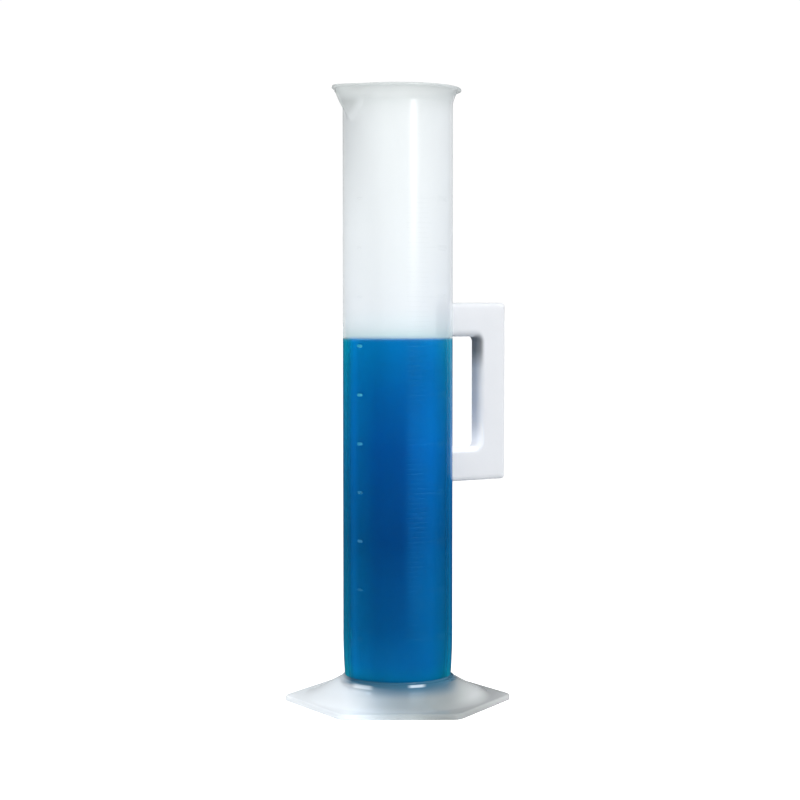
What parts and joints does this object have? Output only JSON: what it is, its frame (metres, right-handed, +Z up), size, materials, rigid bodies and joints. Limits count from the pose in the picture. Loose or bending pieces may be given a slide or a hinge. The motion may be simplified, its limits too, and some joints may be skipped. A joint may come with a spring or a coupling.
{
  "type": "graduated cylinder",
  "caption": "Tall translucent plastic graduated cylinder with a pouring spout, raised scale, side handle and hexagonal foot, part filled with blue solution.",
  "frame": {"origin": "centre of the foot's underside, on the tube's axis", "axes": "+Z up the tube's axis, +X towards the handle (the spout points to -X), the scale faces -Y"},
  "size_m": [0.182, 0.1778, 0.483],
  "materials": {
    "tube_plastic": "milky, translucent, lightly glossy",
    "foot_plastic": "clear grey, translucent",
    "handle_plastic": "opaque satin white",
    "scale_plastic": "raised, pale",
    "solution": "clear blue liquid"
  },
  "bodies": {
    "root": {"tube": "tube_plastic", "foot": "foot_plastic", "handle": "handle_plastic", "upper_handle_weld": "handle_plastic", "lower_handle_weld": "handle_plastic", "foot_weld": "foot_plastic", "major_lines": "scale_plastic", "medium_lines": "scale_plastic", "minor_lines": "scale_plastic", "side_marks": "scale_plastic", "scale_numerals": "scale_plastic", "solution": "solution"}
  },
  "joints": []
}
